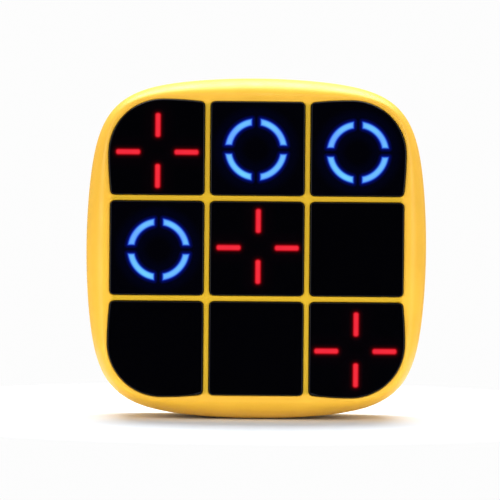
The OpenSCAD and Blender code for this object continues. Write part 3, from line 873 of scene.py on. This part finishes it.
def rear_cover():
    skin = Skin()
    seam = skin.loop(outer(SEAM), SPLIT)
    rim = skin.sweep(shell_side(back(), 0, BAND_LOW, REAR_CURVE_STEPS), seam)
    mouths, ends = through_holes(skin)
    skin.fill(rim, [*mouths, *counterbores(skin), door_recess(skin)])
    hollow = [
        (clear_of_bosses(mix(outer(WALL), back(REAR_HOLLOW_INSET), share)), h) for h, share in REAR_HOLLOW
    ]
    floor = skin.loop(*hollow[0])
    skin.fill(floor, [*ends, bay_from_inside(skin)])
    skin.bridge(skin.sweep(hollow[1:], floor), seam)
    skin.build("rear_cover", yellow, "housing", ["rear_shell"])


def door_panel():
    skin = Skin()
    w, h, r = DOOR_W - 2 * DOOR_PLAY, DOOR_H - 2 * DOOR_PLAY, DOOR_R - DOOR_PLAY
    panel = rect_shape(0, DOOR_Y, w, h, r, 10)
    inner_edge = skin.loop(panel(0), DOOR_T)
    face = skin.sweep(rounded_end(panel, DOOR_T, 0, edge=0.22)[1:], inner_edge)

    head_room, head_depth = round_shape(0, DOOR_SCREW_Y, DOOR_HEAD_R + 0.2), DOOR_HEAD_T + 0.05
    shank_room = round_shape(0, DOOR_SCREW_Y, DOOR_SCREW_R + 0.25, 32)
    mouth, seat = skin.pocket(head_room, 0, head_depth, edge=0.15)
    shank_mouth, shank_end = skin.pocket(shank_room, head_depth, DOOR_T, edge=0.05)
    skin.fill(seat, [shank_mouth])

    pockets = [mouth]
    for i in range(GRIP_COUNT):
        x = GRIP_PITCH * (i - (GRIP_COUNT - 1) / 2)
        mouth, end = skin.pocket(rect_shape(x, GRIP_Y, *GRIP, 0.48), 0, 0.5, edge=0.16)
        pockets.append(mouth)
        skin.fill(end)
    skin.fill(face, pockets)

    rib_places = [CELL_Y + side * CELL_PITCH / 2 for side in (-1, 1)]
    ribs = [skin.column(round_rect(0, y, *DOOR_RIB, 0.3, 3), DOOR_T, DOOR_RIB_TOP) for y in rib_places]
    skin.fill(inner_edge, [shank_end, *ribs])
    skin.build("door_panel", yellow, "battery_door", ["battery_door"])


def screw(skin, x, y, top, head_r, head_t, shank_r, end, recess):
    """Pan-head screw whose head faces the back."""
    cross = plus_shape(x, y, head_r * CROSS_REACH, CROSS_W)
    mouth, recess_end = skin.pocket(cross, top, top + recess, edge=0.04, steps=2)
    skin.fill(recess_end)
    seat = skin.loop(circle(x, y, head_r), top + head_t)
    head = rounded_end(round_shape(x, y, head_r), top + head_t, top, min(0.45, head_t * 0.45))
    skin.fill(skin.sweep(head[1:], seat), [mouth])
    neck = skin.loop(circle(x, y, shank_r), top + head_t)
    skin.fill(seat, [neck])
    shank = [(circle(x, y, shank_r), end - POINT_T), (circle(x, y, shank_r * POINT_SHARE), end)]
    skin.fill(skin.sweep(shank, neck))


def screws():
    skin = Skin()
    top = SCREW_SEAT - SCREW_HEAD_T
    for sx in (-1, 1):
        for sy in (-1, 1):
            x, y = sx * BOSS_X, sy * BOSS_Y
            screw(skin, x, y, top, SCREW_HEAD_R, SCREW_HEAD_T, SCREW_R, SCREW_END, recess=1.0)
    skin.build("housing_screws", zinc, "housing", ["shell_screws"])
    skin = Skin()
    head = (DOOR_SCREW_LOW, DOOR_HEAD_R, DOOR_HEAD_T)
    screw(skin, 0, DOOR_SCREW_Y, *head, DOOR_SCREW_R, DOOR_SCREW_END, recess=0.5)
    skin.build("door_fixing", zinc, "battery_door", ["door_screw"])


def turned(skin, x, y, profile, steps=64):
    """A turned solid from its profile of (radius, h), which starts and ends near the axis."""
    rings = [(circle(x, y, r, steps), h) for r, h in profile]
    first = skin.loop(*rings[0])
    skin.fill(first)
    skin.fill(skin.sweep(rings[1:], first))


def mode_cap():
    skin = Skin()
    dish = []
    for i in range(DISH_STEPS + 1):
        t = i / DISH_STEPS
        r = DISH_R[0] + (DISH_R[1] - DISH_R[0]) * t
        dish.append((r, DISH_DEPTH[0] + (DISH_DEPTH[1] - DISH_DEPTH[0]) * t**2))
    edge = arc(MODE_R - MODE_EDGE, MODE_EDGE, MODE_EDGE, 270, 360, 6)
    flange_r, flange_high = MODE_R + MODE_FLANGE[0], MODE_FLANGE_LOW + MODE_FLANGE[1]
    flange = [(MODE_R, MODE_FLANGE_LOW), (flange_r, MODE_FLANGE_LOW), (flange_r, flange_high)]
    stem = [(MODE_STEM_R, flange_high), (MODE_STEM_R, MODE_STEM_END), (MODE_POINT_R, MODE_STEM_END)]
    turned(skin, *MODE, dish + edge + flange + stem)
    skin.build("mode_cap", black_plastic, "mode_button", ["mode_button"])


def power_slider():
    """Knob with a ribbed thumb face, on the slide that keeps it in its switch."""
    skin = Skin()
    x, y = POWER[0] - KNOB_TRAVEL / 2, POWER[1]
    knob = rect_shape(x, y, *KNOB, KNOB_R)
    waist = skin.loop(knob(0), KNOB_SLIDE_LOW)
    face = skin.sweep(rounded_end(knob, KNOB_SLIDE_LOW, KNOB_FACE, edge=0.18)[1:], waist)
    ribs = []
    for i in range(KNOB_RIB_COUNT):
        rib_x = x + KNOB_RIB_PITCH * (i - (KNOB_RIB_COUNT - 1) / 2)
        rib = rect_shape(rib_x, y, *KNOB_RIB, 0.19, 4)
        foot = skin.loop(rib(0), KNOB_FACE)
        rib_end = rounded_end(rib, KNOB_FACE, KNOB_RIB_TOP, edge=0.12, steps=3)
        skin.fill(skin.sweep(rib_end[1:], foot))
        ribs.append(foot)
    skin.fill(face, ribs)
    plate = round_rect(x, y, *KNOB_SLIDE, 0.3)
    plate_low = skin.loop(plate, KNOB_SLIDE_LOW)
    skin.fill(plate_low, [waist])
    skin.fill(skin.sweep([(plate, KNOB_SLIDE_HIGH)], plate_low))
    skin.build("power_slider", black_plastic, "power_knob", ["power_knob"])


# ---------- keys and their lights ----------


def legend_centre(column, row, play):
    return (column - 1) * PITCH + play[0], (row - 1) * PITCH - LEGEND_DROP + play[1]


def key_cap(name, column, row):
    skin = Skin()
    cap = key_shape(column, row, KEY_GAP)
    side_low, ceiling = KEY_LOW + KEY_CHAMFER, BODY_T - KEY_TOP_T
    side = skin.loop(cap(KEY_CHAMFER), KEY_LOW)
    top = rounded_end(cap, side_low, BODY_T, KEY_EDGE, steps=9)
    skin.fill(skin.sweep(top, side))
    rim = skin.loop(cap(KEY_WALL), KEY_LOW)
    skin.bridge(side, rim)
    roof = skin.sweep([(cap(KEY_WALL), ceiling)], rim)
    post = circle((column - 1) * PITCH, (row - 1) * PITCH, POST_R, 32)
    foot = skin.loop(post, ceiling)
    skin.fill(roof, [foot])
    skin.fill(skin.sweep([(post, KEY_LOW)], foot))
    shown, play = SHOWN.get(name, DARK)
    origin = place(*legend_centre(column, row, play), BODY_T)
    skin.build(f"cap_{name}", acrylic[shown], f"key_{name}", [f"key_{name}"], origin)


def cross_bars(cx, cy):
    """Outlines of the four bars of a cross."""
    outlines = []
    for side in range(4):
        bar = round_rect(BAR_START[side] + BAR_LEN / 2, 0, BAR_LEN, STROKE, BAR_END_R)
        for _ in range(side):
            bar = [(-y, x) for x, y in bar]
        outlines.append([(cx + x, cy + y) for x, y in bar])
    return outlines


def ring_arcs(cx, cy):
    """Outlines of the four arcs of a ring."""
    outlines = []
    wide, narrow = RING_R + STROKE / 2, RING_R - STROKE / 2
    wide_start = math.degrees(math.asin(RING_BREAK / 2 / wide))
    narrow_start = math.degrees(math.asin(RING_BREAK / 2 / narrow))
    for turn in (0, 90, 180, 270):
        outlines.append(
            arc(cx, cy, wide, turn + wide_start, turn + 90 - wide_start, 20)
            + arc(cx, cy, narrow, turn + 90 - narrow_start, turn + narrow_start, 20)
        )
    return outlines


def lit_legend(name, column, row):
    """The lit ends of the light guide, almost flush with the key's face."""
    shown, play = SHOWN[name]
    centre = legend_centre(column, row, play)
    skin = Skin()
    for outline in cross_bars(*centre) if shown == "cross" else ring_arcs(*centre):
        low = skin.loop(outline, BODY_T - KEY_TOP_T)
        skin.fill(low)
        skin.fill(skin.sweep([(outline, BODY_T + LEGEND_PROUD)], low))
    skin.build(f"{shown}_{name}", acrylic[shown], f"key_{name}", (), place(*centre, BODY_T))


front_cover()
rear_cover()
door_panel()
screws()
mode_cap()
power_slider()
for key_name, key_column, key_row in KEYS:
    key_cap(key_name, key_column, key_row)
    if key_name in SHOWN:
        lit_legend(key_name, key_column, key_row)


# ---------- materials of the CAD nodes that stay ----------

matt_black = moulded("matt_black", (0.014, 0.014, 0.016), 0.6, grain=0.15)
frosted = moulded("frosted_guide", (0.72, 0.76, 0.8), 0.45, grain=0.1, depth=0.002)
cream = moulded("cream_plastic", (0.78, 0.72, 0.58), 0.45, grain=0.2)
red_resin = moulded("red_resin", (0.6, 0.05, 0.04), 0.15, grain=0.4, depth=0.001)
blue_resin = moulded("blue_resin", (0.1, 0.22, 0.7), 0.15, grain=0.4, depth=0.001)
ceramic = moulded("chip_ceramic", (0.36, 0.24, 0.12), 0.5, grain=0.1)
nickel = brushed_metal("nickel_plate", NICKEL, 0.25, streak=0.25)
cone_film = moulded("cone_film", (0.01, 0.01, 0.011), 0.35, grain=0.5, depth=0.02)
red_insulation = moulded("red_insulation", (0.5, 0.02, 0.02), 0.4, grain=0.3, depth=0.004)
# Start of the node's name, and its material
NODE_MATERIALS = {
    "light_mask_": matt_black,
    "light_guide_": frosted,
    "switch_plunger_": cream,
    "circuit_board": circuit_board(),
    "switch_bodies": matt_black,
    "red_leds": red_resin,
    "blue_leds": blue_resin,
    "controller_chip": matt_black,
    "board_parts": ceramic,
    "battery_upper": battery_sleeve("battery_sleeve_right", 1),
    "battery_middle": battery_sleeve("battery_sleeve_left", -1),
    "battery_lower": battery_sleeve("battery_sleeve_right_2", 1),
    "contact_springs": nickel,
    "contact_plates": nickel,
    "speaker_basket": black_plastic,
    "speaker_cone": cone_film,
    "speaker_magnet": nickel,
    "power_switch_body": matt_black,
    "mode_switch_body": matt_black,
    "wires": red_insulation,
}
for node_name, node_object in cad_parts.items():
    for prefix, node_material in NODE_MATERIALS.items():
        if node_name.startswith(prefix):
            for material_slot in node_object.material_slots:
                material_slot.material = node_material


# ---------- stage ----------


def area_light(name, location, target, size, power):
    data = bpy.data.lights.new(name, "AREA")
    data.shape = "RECTANGLE"
    data.size, data.size_y = size
    data.energy = power
    lamp = bpy.data.objects.new(name, data)
    lamp.location = location
    lamp.rotation_euler = (Vector(target) - Vector(location)).to_track_quat("-Z", "Y").to_euler()
    bpy.context.scene.collection.objects.link(lamp)


def pale_floor():
    bpy.ops.mesh.primitive_circle_add(
        vertices=96, radius=FLOOR_R, fill_type="NGON", location=(0, FLOOR_Y, 0)
    )
    floor = bpy.context.object
    floor.name = "floor"
    material, _, shader = new_material("pale_floor", FLOOR_WHITE, 0.6)
    shader.inputs["Specular IOR Level"].default_value = 0.2
    floor.data.materials.append(material)


def surroundings():
    """White studio with a dark patch in front of the game, so that its keys stay black.

    The camera itself sees plain white in every direction."""
    world = bpy.data.worlds.new("studio")
    bpy.context.scene.world = world
    world.use_nodes = True
    tree = world.node_tree
    tree.nodes.clear()
    direction = add_node(tree, "ShaderNodeTexCoord").outputs["Generated"]
    axes = add_node(tree, "ShaderNodeSeparateXYZ", Vector=direction).outputs
    towards_front = maths(tree, "MULTIPLY", axes["Y"], -1.0)
    beside_patch = mapped(tree, towards_front, 1, 0, 0.15, 0.8)
    dim_rear = mapped(tree, towards_front, 0.45, 1, -0.9, -0.1)
    brighter_above = mapped(tree, axes["Z"], 0.9, 1.15, -1, 1)
    light = maths(tree, "MULTIPLY", maths(tree, "MULTIPLY", beside_patch, dim_rear), brighter_above)
    light = maths(tree, "MULTIPLY", light, WORLD_LIGHT)
    lighting = add_node(tree, "ShaderNodeBackground", Color=WHITE, Strength=light).outputs[0]
    seen = add_node(tree, "ShaderNodeBackground", Color=WHITE, Strength=BACKGROUND).outputs[0]
    camera_ray = add_node(tree, "ShaderNodeLightPath").outputs["Is Camera Ray"]
    both = add_node(tree, "ShaderNodeMixShader", _0=camera_ray, _1=lighting, _2=seen)
    add_node(tree, "ShaderNodeOutputWorld", Surface=both.outputs[0])


def camera():
    """Almost level with the game and straight in front of it, turned a little about its own axis."""
    data = bpy.data.cameras.new("camera")
    data.sensor_width = SENSOR_W
    data.lens = SENSOR_W * (CAMERA_DISTANCE - (BAND_HIGH - SPLIT) * MM) / FRAME_WIDTH
    data.clip_start = 0.01
    cam = bpy.data.objects.new("camera", data)
    azimuth, elevation = math.radians(CAMERA_AZIMUTH), math.radians(CAMERA_ELEVATION)
    level = math.cos(elevation)
    back_way = Vector((math.sin(azimuth) * level, -math.cos(azimuth) * level, math.sin(elevation)))
    middle = Vector((-OBJECT_RIGHT, 0, HALF * MM - OBJECT_UP))
    cam.location = middle + back_way * CAMERA_DISTANCE
    look = (-back_way).to_track_quat("-Z", "Y").to_matrix().to_4x4()
    roll = Matrix.Rotation(math.radians(CAMERA_ROLL), 4, "Z")
    cam.matrix_world = Matrix.Translation(cam.location) @ look @ roll
    bpy.context.scene.collection.objects.link(cam)
    bpy.context.scene.camera = cam


pale_floor()
surroundings()
camera()
for light_settings in LIGHTS:
    area_light(*light_settings)
bpy.context.scene.view_settings.view_transform = "Standard"
bpy.context.scene.view_settings.look = "None"
